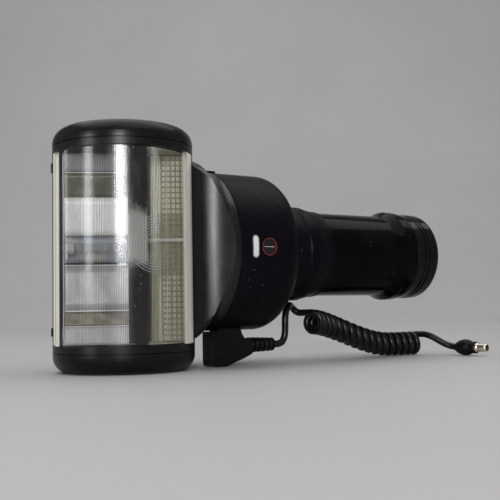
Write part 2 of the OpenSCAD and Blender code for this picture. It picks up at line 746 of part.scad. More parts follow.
module pc_sleeve() {
    color("#c9b88a") at_pc(pc_len) rotate_extrude($fn = 48) polygon([
        [1.5, 0], [2.5, 0], [2.5, 1.2], [2.1, 1.6], [2.1, 6.4], [1.8, 6.8], [1.5, 6.8]
    ]);
}

module pc_pin() {
    color("#d6cfb4") at_pc(pc_len) rotate_extrude($fn = 32) polygon([
        [0, 0], [1.5 - seat_gap, 0], [1.5 - seat_gap, 1], [0.6, 1.2], [0.6, 5.6], [0.3, 6], [0, 6]
    ]);
}

saddle();
rear_barrel();
collar();
grip_tube();
top_pad();
lamp_window();
button_bezel();
sync_socket();
circuit_board();
board_switches();
capacitor();
transformer();
ready_lamp();
battery_carrier();
battery_cells();
contact_plates();
head_spindle();
head_shell();
cap_top();
cap_bottom();
lens();
reflector();
side_panel();
divider();
flash_tube();
tube_ends();
shell_clips();
test_button();
power_switch();
end_cap();
cap_seal();
contact_spring();
plug_body();
plug_pins();
strain_relief();
cord_lead();
cord_coil();
cord_tail();
pc_grip();
pc_sleeve();
pc_pin();
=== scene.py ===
import json
import math

import bpy
from mathutils import Matrix, Vector
from mathutils.geometry import tessellate_polygon


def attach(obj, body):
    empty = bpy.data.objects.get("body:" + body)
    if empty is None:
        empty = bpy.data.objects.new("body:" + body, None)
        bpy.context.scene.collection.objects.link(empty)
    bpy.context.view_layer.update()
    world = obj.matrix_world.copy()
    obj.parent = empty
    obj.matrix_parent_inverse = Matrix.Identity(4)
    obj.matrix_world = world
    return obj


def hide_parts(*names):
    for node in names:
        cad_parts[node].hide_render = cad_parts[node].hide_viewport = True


MM = 0.001
MICRON = 0.000001
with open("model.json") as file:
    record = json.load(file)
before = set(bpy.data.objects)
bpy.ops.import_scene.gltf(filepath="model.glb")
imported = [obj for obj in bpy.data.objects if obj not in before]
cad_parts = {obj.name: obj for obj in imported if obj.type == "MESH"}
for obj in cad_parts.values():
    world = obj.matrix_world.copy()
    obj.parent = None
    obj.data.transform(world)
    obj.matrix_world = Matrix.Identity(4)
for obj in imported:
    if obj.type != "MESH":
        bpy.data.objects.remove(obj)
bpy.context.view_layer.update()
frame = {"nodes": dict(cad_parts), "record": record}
nodes = frame["nodes"]

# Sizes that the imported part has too, in millimetres and radians.
MID_Z = 53.5  # height of the grip's axis, and of the head's middle
WINDOW_X, BUTTON_X = 46.3, 53.4
WINDOW_STRAIGHT = 3.35  # half the length of the window's straight sides
HEAD_TURN = math.radians(-24)  # how far the head's front is turned from -Y at rest
LENS_DIR = HEAD_TURN - math.pi / 2  # the same direction, as an angle from +X
LENS_LOW, LENS_HIGH = 11.7, 95.3
LENS_OUT, LENS_IN = 31.0, 29.0
LENS_HALF = 74.8  # degrees from the middle of the lens to each of its edges
INNER_R = 28.2  # the room for the pieces behind the lens

# The lens's ribs: how many, the steps across one, and how far they stand in. Its chamfers.
LENS_RIBS, RIB_STEPS, RIB_DEPTH = 110, 4, 0.2
LENS_END_GAP, LENS_CHAMFER, LENS_CHAMFER_H = 0.1, 0.35, 0.4

# Where a look changes across a piece, in millimetres: each pair is the start and end of a change.
WINDOW_FADE = (1.0, 1.55)  # from the window's middle line out: bright, then dark
RED_EDGE = (3.76, 3.92)  # from the button's middle out: red, then black
GLARE_Z, GLARE_HALF, GLARE_RAGGED = 57.2, (8.5, 13.5), 12.0  # the painted glare on the divider, a pale place

# The same on the lens, in degrees from its middle.
PIPED_GLOW_LEFT, PIPED_GLOW_RIGHT = (-69, -72), (60, 65)  # clear, then painted milky white: light piped along the edge
GLEAM_LEFT, GLEAM_RIGHT = (-15, -8), (8, 3)  # plain, then glossy, from the outside in: a painted highlight band where the key lamp's gleam falls

GRAIN_WAVES = 0.6  # waves of noise for each grain of a plastic
CLEAR_IOR = 1.49

# The camera, fitted to the photograph, in metres, radians and pixels.
EYE = Vector((-156.3, -354.06, 24.77)) * MM
YAW, PITCH, ROLL = -0.5613, 0.072, -0.0186
FOCAL_PX, FRAME_PX, SENSOR_MM = 863.1, 500, 36
VIEW_RIGHT = Vector((math.cos(YAW), math.sin(YAW), 0))
VIEW_AWAY = Vector((-math.sin(YAW), math.cos(YAW), 0))


def link(obj):
    """Put an object in the scene."""
    bpy.context.scene.collection.objects.link(obj)
    return obj


def make_camera():
    """The camera of the photograph, with its slight roll."""
    forward = Vector((-math.sin(YAW) * math.cos(PITCH), math.cos(YAW) * math.cos(PITCH), math.sin(PITCH)))
    level_up = VIEW_RIGHT.cross(forward)
    right = math.cos(ROLL) * VIEW_RIGHT + math.sin(ROLL) * level_up
    up = -math.sin(ROLL) * VIEW_RIGHT + math.cos(ROLL) * level_up
    data = bpy.data.cameras.new("camera")
    data.sensor_width = SENSOR_MM
    data.lens = SENSOR_MM * FOCAL_PX / FRAME_PX
    data.clip_start = 0.01
    camera = link(bpy.data.objects.new("camera", data))
    camera.matrix_world = Matrix((
        (right.x, up.x, -forward.x, EYE.x),
        (right.y, up.y, -forward.y, EYE.y),
        (right.z, up.z, -forward.z, EYE.z),
        (0, 0, 0, 1),
    ))
    bpy.context.scene.camera = camera


make_camera()
bpy.context.scene.view_settings.view_transform = "Standard"


class Nodes:
    """Short names for building the node tree of a material or of the world."""

    def __init__(self, owner, output="ShaderNodeOutputMaterial"):
        self.owner = owner
        owner.use_nodes = True
        self.tree = owner.node_tree
        self.tree.nodes.clear()
        self.out = self.tree.nodes.new(output)
        self.coord = None

    def node(self, kind, inputs=None, **attrs):
        """A new node: each input gets a constant or a link to another node's output."""
        node = self.tree.nodes.new(kind)
        for key, value in attrs.items():
            setattr(node, key, value)
        for key, value in (inputs or {}).items():
            if isinstance(value, bpy.types.NodeSocket):
                self.tree.links.new(value, node.inputs[key])
            else:
                node.inputs[key].default_value = value
        return node

    def add(self, kind, inputs=None, **attrs):
        """The first output of a new node."""
        return self.node(kind, inputs, **attrs).outputs[0]

    def object(self):
        """The piece's own coordinates, in metres."""
        if self.coord is None:
            self.coord = self.node("ShaderNodeTexCoord").outputs["Object"]
        return self.coord

    def axis(self, letter):
        """One of the piece's own coordinates."""
        return self.node("ShaderNodeSeparateXYZ", {0: self.object()}).outputs[letter]

    def stretch(self, *scale):
        """The piece's own coordinates, scaled along each axis."""
        return self.add("ShaderNodeMapping", {0: self.object(), "Scale": scale})

    def math(self, operation, a, b=0.0):
        return self.add("ShaderNodeMath", {0: a, 1: b}, operation=operation)

    def minus(self, a, b):
        return self.math("SUBTRACT", a, b)

    def times(self, a, b):
        return self.math("MULTIPLY", a, b)

    def plus(self, a, b):
        return self.math("ADD", a, b)

    def far(self, a, b):
        """Length of the flat vector (a, b)."""
        return self.math("SQRT", self.plus(self.times(a, a), self.times(b, b)))

    def noise(self, scale, detail=2.0, rough=0.5, vector=None):
        return self.add("ShaderNodeTexNoise", {
            "Vector": vector or self.object(), "Scale": scale, "Detail": detail, "Roughness": rough,
        })

    def span(self, value, low, high, to_low=0.0, to_high=1.0):
        """The value's place between low and high, from to_low to to_high and not past them."""
        return self.add("ShaderNodeMapRange", {
            "Value": value, "From Min": low, "From Max": high, "To Min": to_low, "To Max": to_high,
        }, clamp=True)

    def specks(self, scale, size, patch_scale, patch):
        """Small specks in loose patches: 1 on a speck, 0 elsewhere."""
        dots = self.add("ShaderNodeTexVoronoi", {"Vector": self.object(), "Scale": scale})
        return self.times(self.span(dots, *size, 1.0, 0.0), self.span(self.noise(patch_scale), *patch))

    def vary(self, base, pattern, amount):
        """The base value, moved up and down by a pattern whose middle is one half."""
        return self.plus(base, self.times(self.minus(pattern, 0.5), amount))

    def mix(self, factor, a, b):
        """A colour between a and b."""
        return self.node("ShaderNodeMix", {0: factor, 6: a, 7: b}, data_type="RGBA").outputs[2]

    def ramp(self, factor, stops):
        """A colour from a list of (place, colour)."""
        node = self.node("ShaderNodeValToRGB", {0: factor})
        elements = node.color_ramp.elements
        while len(elements) < len(stops):
            elements.new(0.5)
        for element, (place, color) in zip(elements, stops):
            element.position = place
            element.color = color
        return node.outputs[0]

    def bump(self, height, microns, strength):
        """Small relief: height runs from 0 to 1, and microns is how far 1 stands above 0."""
        return self.add("ShaderNodeBump", {
            "Height": height, "Distance": microns * MICRON, "Strength": strength,
        })

    def principled(self, **inputs):
        return self.add("ShaderNodeBsdfPrincipled", {k.replace("_", " "): v for k, v in inputs.items()})

    def passing(self, color):
        """A shader that lets light straight through."""
        return self.add("ShaderNodeBsdfTransparent", {0: color})

    def blend(self, factor, a, b):
        """A shader between a and b."""
        return self.add("ShaderNodeMixShader", {0: factor, 1: a, 2: b})

    def finish(self, shader):
        self.tree.links.new(shader, self.out.inputs[0])
        return self.owner


def material_nodes(name):
    """The empty node tree of a new material."""
    return Nodes(bpy.data.materials.new(name))


def rgba(r, g, b):
    return (r, g, b, 1.0)


def scaled(color, factor):
    """A colour, darker by a factor."""
    return rgba(*(c * factor for c in color))


def plastic(name, color, rough, grain=250, depth=20, dust=0.0, shine=0.5):
    """Moulded plastic: a slow change of gloss, a little dust, and a grain, sized in microns."""
    n = material_nodes(name)
    fine = n.noise(GRAIN_WAVES / (grain * MICRON), 2.0, 0.6)
    slow = n.noise(45.0, 3.0, 0.6)
    speck = n.times(n.specks(430.0, (0.055, 0.095), 70.0, (0.52, 0.62)), dust)
    light = rgba(*(min(1.0, c * 1.35 + 0.0015) for c in color))
    base = n.mix(n.span(slow, 0.35, 0.7), rgba(*color), light)
    base = n.mix(speck, base, rgba(0.5, 0.5, 0.5))
    return n.finish(n.principled(
        Base_Color=base, Roughness=n.vary(rough, slow, 0.18), Normal=n.bump(fine, depth, 0.6),
        Specular_IOR_Level=shine,
    ))


def gloss_black(name, rough, shine):
    """The black of the grip and of its end cap, moulded smooth."""
    return plastic(name, (0.0014, 0.001, 0.0013), rough, grain=600, depth=6, dust=0.3, shine=shine)


def trim(name, color, rough=0.3):
    """Smooth plastic of the small pieces on the panel, the lens and the button."""
    return plastic(name, color, rough, depth=10)


def metal(name, color, rough, streak=(1, 1, 1)):
    """Drawn or turned metal with fine streaks and a faint tarnish."""
    n = material_nodes(name)
    fine = n.noise(900.0, 3.0, 0.6, n.stretch(*streak))
    slow = n.noise(120.0, 3.0, 0.6)
    base = n.mix(n.span(slow, 0.45, 0.75), rgba(*color), scaled(color, 0.7))
    return n.finish(n.principled(
        Base_Color=base, Metallic=1.0, Roughness=n.vary(rough, fine, 0.2), Normal=n.bump(fine, 10, 0.4),
    ))


def lamp_glass(name, color, rough, shadow):
    """Clear glass, whose shadow lets light through to what lies behind."""
    n = material_nodes(name)
    glass = n.principled(
        Base_Color=rgba(*color), Roughness=rough, IOR=CLEAR_IOR, Transmission_Weight=1.0,
        Normal=n.bump(n.noise(60.0), 200, 0.15),
    )
    ray = n.node("ShaderNodeLightPath").outputs["Is Shadow Ray"]
    return n.finish(n.blend(ray, glass, n.passing(rgba(*shadow))))


def mirror_sheet(name, color, other, rough=0.3):
    """Bright folded sheet with small dents, upright streaks and a slow change of tone; drawn matt, not
    metal, its colours are painted reflections.
    """
    n = material_nodes(name)
    dents = n.noise(260.0, 3.0, 0.6)
    streaks = n.noise(1.0, 3.0, 0.6, n.stretch(700, 700, 16))
    tone = n.mix(n.span(n.noise(75.0), 0.38, 0.62), rgba(*color), rgba(*other))
    tone = n.mix(n.span(streaks, 0.5, 0.75, 0.0, 0.35), tone, scaled(color, 0.6))
    return n.finish(n.principled(
        Base_Color=tone, Metallic=0.0, Specular_IOR_Level=0.3, Roughness=rough,
        Normal=n.bump(dents, 200, 0.5),
    ))


def lens_plastic(name):
    """Clear moulded plastic, scuffed, with painted light: pale and grey lines along the upright ribs, a
    milky glow of light piped along its two long edges, and strong gloss only in the band where the key
    lamp's highlight falls.
    """
    n = material_nodes(name)

    def change(start, end):
        """From 0 to 1 between two angles, in degrees from the middle of the lens."""
        return n.span(angle, math.radians(start), math.radians(end))

    turned = n.add("ShaderNodeVectorRotate", {0: n.object(), "Angle": -LENS_DIR}, rotation_type="Z_AXIS")
    split = n.node("ShaderNodeSeparateXYZ", {0: turned}).outputs
    angle = n.math("ARCTAN2", split["Y"], split["X"])
    rib_width = math.radians(2 * LENS_HALF / LENS_RIBS)
    wave = n.math("SINE", n.times(angle, 2 * math.pi / rib_width))
    ribs = n.span(wave, -0.6, 0.9)
    scuffs = n.noise(1.0, 3.0, 0.65, n.stretch(160, 160, 45))
    # Painted light: the two long edges are drawn milky white, for light piped along them.
    piped_glow = n.times(n.math("MAXIMUM", change(*PIPED_GLOW_RIGHT), change(*PIPED_GLOW_LEFT)), 0.92)
    # Scuff marks cloud the plastic, which is wear; the rib part paints pale lines along the ribs.
    scuff_haze_and_rib_lines = n.plus(n.times(n.span(scuffs, 0.55, 0.8), 0.05), n.times(ribs, 0.012))
    solid = n.math("MAXIMUM", n.plus(scuff_haze_and_rib_lines, 0.003), piped_glow)
    # Painted shade: grey lines along the ribs, standing in for their refraction.
    rib_shade = n.mix(ribs, rgba(0.68, 0.69, 0.70), rgba(1.0, 1.0, 0.99))
    milky = n.principled(Base_Color=rgba(1.0, 0.98, 0.90), Roughness=0.3, IOR=CLEAR_IOR)
    seen = n.blend(solid, n.passing(rib_shade), milky)
    # Painted highlight: the gloss is strong only in the band where the key lamp's highlight falls.
    highlight_band = n.times(change(*GLEAM_LEFT), change(*GLEAM_RIGHT))
    gleam = n.add("ShaderNodeBsdfGlossy", {
        "Color": n.mix(highlight_band, rgba(0.013, 0.013, 0.013), rgba(0.05, 0.05, 0.052)),
        "Roughness": 0.14, "Normal": n.bump(ribs, 18, 0.5),
    })
    return n.finish(n.add("ShaderNodeAddShader", {0: seen, 1: gleam}))


def prism_plastic(name, color, solid):
    """Moulded prisms in clear plastic; the light they catch is painted into a patchy milky body of their
    colour.
    """
    n = material_nodes(name)
    body = n.principled(Base_Color=rgba(*color), Roughness=0.15, IOR=CLEAR_IOR)
    weight = n.span(n.noise(120.0), 0.3, 0.7, solid * 0.8, min(1.0, solid * 1.2))
    return n.finish(n.blend(weight, n.passing(rgba(0.97, 0.97, 0.95)), body))


def cream_panel(name):
    """Cream plastic with upright streaks, and painted shade: a browner, darker band in the middle, behind
    the round prisms; lighter towards the top.
    """
    n = material_nodes(name)
    level = n.span(n.axis("Z"), LENS_LOW * MM, LENS_HIGH * MM)
    # Painted shade in the brown middle band; the cream is lighter towards the top.
    painted_shade_zones = n.ramp(level, [
        (0.0, rgba(0.60, 0.57, 0.42)), (0.36, rgba(0.66, 0.63, 0.46)),
        (0.37, rgba(0.40, 0.355, 0.21)), (0.68, rgba(0.45, 0.40, 0.24)),
        (0.69, rgba(0.86, 0.82, 0.62)), (1.0, rgba(0.92, 0.88, 0.68)),
    ])
    streaks = n.noise(1.0, 3.0, 0.6, n.stretch(420, 420, 14))
    base = n.mix(n.span(streaks, 0.5, 0.7, 0.0, 0.3), painted_shade_zones, rgba(0.32, 0.295, 0.21))
    return n.finish(n.principled(Base_Color=base, Roughness=0.4, Normal=n.bump(streaks, 200, 0.4)))


def cord_rubber(name):
    """Black rubber of the cord, with a slow change of gloss."""
    n = material_nodes(name)
    slow = n.noise(90.0, 3.0)
    base = n.mix(n.span(slow, 0.4, 0.7), rgba(0.003, 0.003, 0.003), rgba(0.007, 0.0065, 0.006))
    return n.finish(n.principled(
        Base_Color=base, Roughness=n.span(slow, 0.3, 0.7, 0.26, 0.38), Specular_IOR_Level=0.3,
        Normal=n.bump(n.noise(2200.0, 2.0, 0.6), 30, 0.5),
    ))


def board_green(name):
    """Green lacquer of the circuit board, with lighter tracks."""
    n = material_nodes(name)
    upright = n.add("ShaderNodeMapping", {0: n.object(), "Rotation": (math.pi / 2, 0, 0)})
    tracks = n.add("ShaderNodeTexBrick", {
        "Vector": upright, "Scale": 160.0, "Mortar Size": 0.06, "Color1": rgba(0.02, 0.16, 0.06),
        "Color2": rgba(0.025, 0.2, 0.07), "Mortar": rgba(0.16, 0.3, 0.08),
    })
    return n.finish(n.principled(
        Base_Color=tracks, Roughness=0.35, Normal=n.bump(n.noise(400.0), 100, 0.3),
    ))


def lamp_window_milk(name):
    """Milky window, bright in the middle and dark towards its rim."""
    n = material_nodes(name)
    across = n.minus(n.axis("X"), WINDOW_X * MM)
    along = n.math("ABSOLUTE", n.minus(n.axis("Z"), MID_Z * MM))
    far = n.far(across, n.math("MAXIMUM", n.minus(along, WINDOW_STRAIGHT * MM)))
    rim = n.span(far, WINDOW_FADE[0] * MM, WINDOW_FADE[1] * MM)
    base = n.mix(rim, rgba(0.72, 0.73, 0.72), rgba(0.05, 0.05, 0.052))
    cloud = n.mix(n.span(n.noise(500.0), 0.4, 0.7, 0.0, 0.3), base, rgba(0.4, 0.4, 0.4))
    return n.finish(n.principled(
        Base_Color=cloud, Roughness=0.35, Normal=n.bump(n.noise(900.0), 10, 0.3),
    ))


def ring_red(name):
    """Black ring with a thin worn line of red along its inner edge."""
    n = material_nodes(name)
    far = n.far(n.minus(n.axis("X"), BUTTON_X * MM), n.minus(n.axis("Z"), MID_Z * MM))
    worn = n.span(n.noise(700.0), 0.4, 0.62, 0.0, 0.75)
    red = n.mix(worn, rgba(0.30, 0.02, 0.025), rgba(0.06, 0.006, 0.01))
    outside = n.span(far, RED_EDGE[0] * MM, RED_EDGE[1] * MM)
    base = n.mix(outside, red, rgba(0.003, 0.0025, 0.004))
    return n.finish(n.principled(
        Base_Color=base, Roughness=0.35, Specular_IOR_Level=0.25,
        Normal=n.bump(n.noise(900.0), 10, 0.3),
    ))


def divider_gloss(name):
    """Dark gloss with a painted glare, a pale band behind the round prisms, and scattered scratches."""
    n = material_nodes(name)
    # Painted glare: a pale band across the dark gloss, behind the round prisms.
    off = n.math("ABSOLUTE", n.minus(n.axis("Z"), GLARE_Z * MM))
    off = n.vary(off, n.noise(260.0, 4.0, 0.7), GLARE_RAGGED * MM)
    pale = n.span(off, GLARE_HALF[0] * MM, GLARE_HALF[1] * MM, 1.0, 0.0)
    scratch = n.times(n.specks(520.0, (0.10, 0.16), 130.0, (0.5, 0.6)), 0.7)
    base = n.mix(pale, rgba(0.002, 0.004, 0.009), rgba(0.44, 0.43, 0.40))
    base = n.mix(scratch, base, rgba(0.6, 0.62, 0.66))
    return n.finish(n.principled(
        Base_Color=base, Roughness=0.3, Specular_IOR_Level=0.08, Normal=n.bump(n.noise(300.0), 20, 0.5),
    ))


def floor_paper(name):
    """Pale matt paper."""
    n = material_nodes(name)
    base = n.mix(n.span(n.noise(3.0), 0.3, 0.7), rgba(0.505, 0.492, 0.482), rgba(0.545, 0.531, 0.52))
    return n.finish(n.principled(
        Base_Color=base, Roughness=0.55, Normal=n.bump(n.noise(300.0), 100, 0.2),
    ))


MATS = {
    "body_plastic": plastic("satin_black", (0.0026, 0.0019, 0.0037), 0.36, dust=0.45, shine=0.05),
    "head_plastic": plastic("satin_black_head", (0.0032, 0.0029, 0.0034), 0.33, dust=0.15, shine=0.2),
    "grip_plastic": gloss_black("gloss_black", 0.15, 0.05),
    "button_plastic": plastic("button_black", (0.006, 0.005, 0.007), 0.3, shine=0.3),
    "window_plastic": plastic("milky_white", (0.7, 0.7, 0.68), 0.3, depth=4),
    "red_plastic": ring_red("red_ring"),
    "inner_plastic": plastic("dark_moulded", (0.03, 0.03, 0.034), 0.45),
    "board": board_green("board_green"),
    "can_sleeve": plastic("can_sleeve", (0.04, 0.06, 0.14), 0.35, depth=8),
    "tape_yellow": plastic("tape_yellow", (0.55, 0.33, 0.05), 0.4, depth=30),
    "lamp_glass": lamp_glass("lamp_glass", (0.95, 0.75, 0.6), 0.05, (0.9, 0.7, 0.5)),
    "carrier_plastic": plastic("carrier_grey", (0.6, 0.6, 0.56), 0.45),
    "cell_can": metal("cell_can", (0.5, 0.52, 0.55), 0.3, streak=(0.1, 1, 1)),
    "contact_metal": metal("contact_metal", (0.72, 0.62, 0.42), 0.3),
    "spindle_metal": metal("spindle_metal", (0.62, 0.62, 0.64), 0.28, streak=(1, 1, 6)),
    "lens_clear": lens_plastic("lens_clear"),
    "reflector_bright": mirror_sheet("mirror_sheet", (0.5, 0.5, 0.5), (0.42, 0.42, 0.43)),
    "cream_plastic": cream_panel("cream_panel"),
    "tube_glass": prism_plastic("tube_glass", (0.22, 0.23, 0.25), 0.2),
    "seal_rubber": plastic("seal_rubber", (0.012, 0.012, 0.012), 0.6),
    "plug_plastic": plastic("plug_black", (0.003, 0.0028, 0.0028), 0.42, dust=0.2, shine=0.12),
    "pin_metal": metal("pin_metal", (0.80, 0.75, 0.62), 0.25),
    "cord_rubber": cord_rubber("cord_rubber"),
}
CAP_BLACK = plastic("cap_black", (0.0034, 0.0031, 0.0036), 0.3, dust=0.15, shine=0.17)
# Nodes whose look differs from the rest of their slot.
OWN_LOOK = {
    # Painted light: the tube's ends take the light grey of the reflector's painted back facet, lighter than
    # the shade they stand in.
    "tube_ends": plastic("tube_end_grey", (0.34, 0.34, 0.35), 0.5),
    "cap_top": CAP_BLACK,
    "cap_bottom": CAP_BLACK,
    "end_cap": gloss_black("gloss_cap", 0.14, 0.16),
    "lamp_window": lamp_window_milk("window_milk"),
    "saddle": plastic("saddle_black", (0.0022, 0.0017, 0.0030), 0.25, depth=40, dust=0.5, shine=0.34),
}


def dress(obj, material):
    """Put one material in every slot of an object."""
    if not obj.material_slots:
        obj.data.materials.append(material)
    for s in obj.material_slots:
        s.material = material


slot_of = {row["node"]: row["material_slot"] for row in frame["record"]["subparts"]}
for name, obj in nodes.items():
    dress(obj, OWN_LOOK.get(name, MATS[slot_of[name]]))


def new_mesh(name, verts, faces, smooth):
    """A linked object with a mesh."""
    data = bpy.data.meshes.new(name)
    data.from_pydata(verts, [], faces)
    data.validate()
    if smooth:
        data.polygons.foreach_set("use_smooth", [True] * len(data.polygons))
    return link(bpy.data.objects.new(name, data))


def mesh_piece(name, verts, faces, body, slot, material=None, smooth=True):
    """A piece that rides on a body, in its slot's material or in one of its own."""
    obj = new_mesh(name, verts, faces, smooth)
    dress(obj, material or MATS[slot])
    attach(obj, body)
    return obj


def smooth_path(points, per_span):
    """A smooth curve (uniform Catmull-Rom) through all the points, per_span steps between two."""
    pts = [Vector(p) for p in points]
    ends = [2 * pts[0] - pts[1]] + pts + [2 * pts[-1] - pts[-2]]
    out = []
    for i in range(1, len(ends) - 2):
        p0, p1, p2, p3 = ends[i - 1:i + 3]
        for k in range(per_span):
            t = k / per_span
            out.append(0.5 * (2 * p1 + (p2 - p0) * t + (2 * p0 - 5 * p1 + 4 * p2 - p3) * t * t
                              + (3 * p1 - p0 - 3 * p2 + p3) * t ** 3))
    out.append(pts[-1])
    return out


def tube(name, path, radius, sides, body, slot, material=None):
    """A closed tube along a path, with flat ends."""
    verts, faces = [], []
    side = None
    for i, p in enumerate(path):
        ahead = (path[min(i + 1, len(path) - 1)] - path[max(i - 1, 0)]).normalized()
        if side is None:
            side = ahead.orthogonal().normalized()
        side = (side - ahead * side.dot(ahead)).normalized()
        other = ahead.cross(side)
        for k in range(sides):
            a = 2 * math.pi * k / sides
            verts.append(p + radius * (math.cos(a) * side + math.sin(a) * other))
    for i in range(len(path) - 1):
        for k in range(sides):
            a, b = i * sides + k, i * sides + (k + 1) % sides
            faces.append((a, b, b + sides, a + sides))
    last = (len(path) - 1) * sides
    faces.append(tuple(range(sides - 1, -1, -1)))
    faces.append(tuple(range(last, last + sides)))
    return mesh_piece(name, verts, faces, body, slot, material)


def edge_faces(loop, count):
    """The faces that join a closed loop of vertices to the same loop, count vertices later."""
    return [(b, a, a + count, b + count) for a, b in zip(loop, loop[1:] + loop[:1])]


def sheet(name, front, back, slot, material=None, smooth=True):
    """A closed thin piece of the head between two grids of points, each a list of rows."""
    rows, columns = len(front), len(front[0])
    count = rows * columns
    verts = [p for grid in (front, back) for row in grid for p in row]
    faces = []
    for r in range(rows - 1):
        for c in range(columns - 1):
            a = r * columns + c
            quad = (a, a + 1, a + 1 + columns, a + columns)
            faces.append(quad)
            faces.append(tuple(count + i for i in reversed(quad)))
    rim = list(range(columns))
    rim += [r * columns + columns - 1 for r in range(1, rows)]
    rim += [count - columns + c for c in range(columns - 2, -1, -1)]
    rim += [r * columns for r in range(rows - 2, 0, -1)]
    faces += edge_faces(rim, count)
    return mesh_piece(name, verts, faces, "head", slot, material, smooth)


def in_head(w, d, z):
    """A point of the head: w to the right, d forwards to the lens, z up, in millimetres."""
    c, s = math.cos(HEAD_TURN), math.sin(HEAD_TURN)
    return Vector((w * c + d * s, w * s - d * c, z)) * MM


def on_lens(radius, degrees, z):
    """A point of the head, by its angle from the middle of the lens."""
    a = LENS_DIR + math.radians(degrees)
    return Vector((radius * math.cos(a), radius * math.sin(a), z)) * MM


def steps(start, end, count):
    """Evenly spaced numbers from start to end, both with them, count steps apart."""
    return [start + (end - start) * k / count for k in range(count + 1)]


def make_lens():
    """Smooth outside, fine upright ribs inside, and a small chamfer above and below."""
    angles = steps(-LENS_HALF, LENS_HALF, LENS_RIBS * RIB_STEPS)
    half = RIB_STEPS / 2
    ribs = [RIB_DEPTH * abs(i % RIB_STEPS - half) / half for i in range(len(angles))]
    end, inside = LENS_END_GAP, LENS_END_GAP + LENS_CHAMFER_H
    heights = (LENS_LOW + end, LENS_LOW + inside, LENS_HIGH - inside, LENS_HIGH - end)
    outer, inner = [], []
    for z, chamfer in zip(heights, (LENS_CHAMFER, 0.0, 0.0, LENS_CHAMFER)):
        outer.append([on_lens(LENS_OUT - chamfer, a, z) for a in angles])
        inner.append([on_lens(LENS_IN + rib, a, z) for a, rib in zip(angles, ribs)])
    lens = sheet("lens_window", outer, inner, "lens_clear", smooth=False)
    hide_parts("lens")


# The reflector, in millimetres forwards and up from the head's middle.
FACETS = [
    # name, one end (forward, height), other end, colour, second colour, roughness; the colours are painted
    # reflections, the white facet's that of the key lamp
    ("lip_top", (11.6, 41.2), (10.0, 33.3), (0.31, 0.31, 0.33), (0.24, 0.24, 0.26), 0.35),
    ("olive", (10.0, 32.6), (8.5, 22.3), (0.20, 0.19, 0.125), (0.085, 0.08, 0.055), 0.3),
    ("white", (8.5, 21.9), (6.0, 5.9), (1.0, 0.99, 0.97), (0.95, 0.94, 0.91), 0.3),
    ("back", (5.0, 5.8), (5.0, -5.8), (0.36, 0.35, 0.34), (0.17, 0.21, 0.29), 0.3),
    ("grey", (6.2, -7.4), (8.5, -26.6), (0.47, 0.47, 0.465), (0.35, 0.33, 0.31), 0.3),
    ("bronze", (8.5, -27.3), (10.0, -33.3), (0.25, 0.22, 0.145), (0.12, 0.108, 0.07), 0.3),
    ("lip_bottom", (10.0, -33.7), (11.6, -41.4), (0.52, 0.52, 0.515), (0.46, 0.46, 0.46), 0.4),
]
FACET_ROWS, FACET_COLUMNS = 6, 24
DENT_DEPTH, DENT_ACROSS, DENT_UP = 0.12, 0.55, 0.3  # depth, and radians for each millimetre
# The folds between the facets, painted bright as glints: forward, height, radius.
FOLDS = [(10.1, 32.95, 0.22), (8.6, 22.1, 0.22), (8.6, -26.95, 0.35), (10.1, -33.5, 0.2), (6.2, -7.1, 0.25)]
FOLD_STEPS, FOLD_SIDES, FOLD_GAP = 12, 8, 0.4
SHEET_T, WALL_T = 0.5, 0.4
WALL_W = (-26.0, 4.6)  # the outer faces of the two side walls, to the right
# The upper half of a side wall's outline, forwards and up, as far as its top edge.
WALL_EDGE = [(5.0, 5.9), (6.0, 6.4), (8.5, 22.1), (10.0, 33.0)]
WALL_TOP = (11.6, 41.2)
TUBE_D, TUBE_HOLE_R, HOLE_SIDES = 10, 2.9, 24


def half_width(d):
    """How far the room behind the lens reaches to each side, d forwards of the middle."""
    return math.sqrt(max(INNER_R ** 2 - d ** 2, 1.0))


def make_facet(name, start, end, color, other, rough):
    """One flat of the folded sheet, slightly dented on its front."""
    run = Vector((end[0] - start[0], end[1] - start[1])).normalized()
    out = Vector((-run.y, run.x))
    if out.x < 0:
        out = -out
    front, back = [], []
    for t in steps(0.0, 1.0, FACET_ROWS):
        d, dz = start[0] + (end[0] - start[0]) * t, start[1] + (end[1] - start[1]) * t
        z = MID_Z + dz
        left, right = max(WALL_W[0], -half_width(d)), min(WALL_W[1] - WALL_T, half_width(d))
        across = steps(left, right, FACET_COLUMNS)
        fade = math.sin(math.pi * t)
        dents = [DENT_DEPTH * math.sin(w * DENT_ACROSS + dz * DENT_UP) * fade for w in across]
        front.append([in_head(w, d + out.x * up, z + out.y * up) for w, up in zip(across, dents)])
        back.append([in_head(w, d - out.x * SHEET_T, z - out.y * SHEET_T) for w in across])
    return sheet("mirror_" + name, front, back, "reflector_bright",
                 mirror_sheet("mirror_" + name, color, other, rough))


